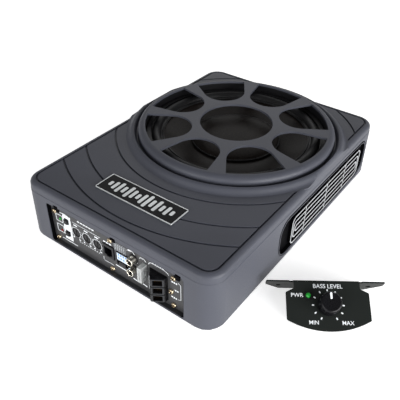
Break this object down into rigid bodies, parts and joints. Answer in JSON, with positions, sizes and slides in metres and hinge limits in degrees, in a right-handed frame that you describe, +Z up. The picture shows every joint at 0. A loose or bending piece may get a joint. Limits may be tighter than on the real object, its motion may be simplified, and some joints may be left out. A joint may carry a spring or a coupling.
{
  "type": "powered car subwoofer",
  "caption": "Low flat under-seat powered subwoofer: cast box, spoked round grille, recessed connector panel, side vents and a separate knob for its level.",
  "frame": {"origin": "centre of the base plate underside, on the surface that the box stands on", "axes": "+Z up out of the grille, -Y out of the connector panel, +X to the right when facing the panel"},
  "size_m": [0.3523, 0.3509, 0.0826],
  "materials": {
    "casting": "satin fine-texture coating",
    "base_sheet": "satin black coating",
    "black_plastic": "moulded",
    "cone_paper": "coated paper cone",
    "rubber": "matte",
    "plated_steel": "zinc plated",
    "nickel": "nickel plated",
    "copper": "enamelled copper wire",
    "aluminium": "plain",
    "ferrite": "sintered",
    "circuit_board": "solder mask",
    "spider_cloth": "resin-treated cloth",
    "panel_steel": "satin",
    "badge": "black field, silver border",
    "fuse_plastic": "translucent",
    "green_lens": "clear",
    "red_lens": "clear",
    "red_lead": "insulation",
    "black_lead": "insulation",
    "capacitor_sleeve": "shrink sleeve"
  },
  "bodies": {
    "box": {"amplifier_board": "circuit_board", "badge_plate": "badge", "base_plate": "base_sheet", "base_screw_1": "plated_steel", "base_screw_2": "plated_steel", "base_screw_3": "plated_steel", "base_screw_4": "plated_steel", "bass_pot_body": "black_plastic", "control_board": "circuit_board", "control_panel": "panel_steel", "crossover_pot_body": "black_plastic", "fuse_holder": "black_plastic", "grille": "casting", "heat_sink": "aluminium", "housing": "casting", "left_vent": "black_plastic", "level_pot_body": "black_plastic", "magnet": "ferrite", "magnet_front_plate": "plated_steel", "magnet_yoke": "plated_steel", "panel_screw_1": "plated_steel", "panel_screw_2": "plated_steel", "panel_screw_3": "plated_steel", "panel_screw_4": "plated_steel", "panel_screw_5": "plated_steel", "panel_screw_6": "plated_steel", "panel_screw_7": "plated_steel", "power_led": "green_lens", "power_terminal": "black_plastic", "protection_led": "red_lens", "rca_block": "black_plastic", "rca_ring_left": "nickel", "rca_ring_right": "nickel", "remote_jack": "black_plastic", "right_vent": "black_plastic", "smoothing_capacitor": "capacitor_sleeve", "speaker_input": "black_plastic", "speaker_lead_minus": "black_lead", "speaker_lead_plus": "red_lead", "spider": "spider_cloth", "surround": "rubber", "surround_gasket": "rubber", "toroid_choke": "copper", "woofer_basket": "casting", "woofer_terminals": "black_plastic"},
    "woofer_motion": {"woofer_cone": "cone_paper", "dust_cap": "cone_paper", "coil_former": "aluminium", "coil_winding": "copper"},
    "level_knob": {"level_pot_knob": "black_plastic"},
    "bass_knob": {"bass_pot_knob": "black_plastic"},
    "crossover_knob": {"crossover_pot_knob": "black_plastic"},
    "phase_push": {"phase_button": "black_plastic"},
    "power_mode_push": {"power_mode_button": "black_plastic"},
    "fuse_link": {"fuse": "fuse_plastic"},
    "remote": {"remote_bracket": "casting", "remote_pot": "black_plastic", "remote_board": "circuit_board", "remote_led": "green_lens"},
    "remote_dial": {"remote_knob": "black_plastic"}
  },
  "joints": [
    {"name": "woofer_travel", "type": "slide", "parent": "box", "child": "woofer_motion", "axis": [0, 0, 1], "range_m": [-0.005, 0.005], "stiffness_N_per_m": 2900, "deforming": ["surround", "spider"]},
    {"name": "level_turn", "type": "hinge", "parent": "box", "child": "level_knob", "pos_m": [-0.0521, -0.167, 0.0299], "axis": [0, -1, 0], "range_deg": [-150, 150]},
    {"name": "bass_turn", "type": "hinge", "parent": "box", "child": "bass_knob", "pos_m": [-0.0371, -0.167, 0.0299], "axis": [0, -1, 0], "range_deg": [-150, 150]},
    {"name": "crossover_turn", "type": "hinge", "parent": "box", "child": "crossover_knob", "pos_m": [-0.0222, -0.167, 0.0299], "axis": [0, -1, 0], "range_deg": [-150, 150]},
    {"name": "phase_press", "type": "slide", "parent": "box", "child": "phase_push", "axis": [0, 1, 0], "range_m": [0, 0.0015], "stiffness_N_per_m": 300},
    {"name": "power_mode_press", "type": "slide", "parent": "box", "child": "power_mode_push", "axis": [0, 1, 0], "range_m": [0, 0.0015], "stiffness_N_per_m": 300},
    {"name": "fuse_pull", "type": "slide", "parent": "box", "child": "fuse_link", "axis": [0, -1, 0], "range_m": [0, 0.02]},
    {"name": "remote_lift", "type": "slide", "parent": "box", "child": "remote", "axis": [0, 0, 1], "range_m": [0, 0.15]},
    {"name": "remote_turn", "type": "hinge", "parent": "remote", "child": "remote_dial", "pos_m": [0.19107, -0.08333, 0.01263], "axis": [0.2751, -0.38, 0.8831], "range_deg": [-150, 150]}
  ]
}
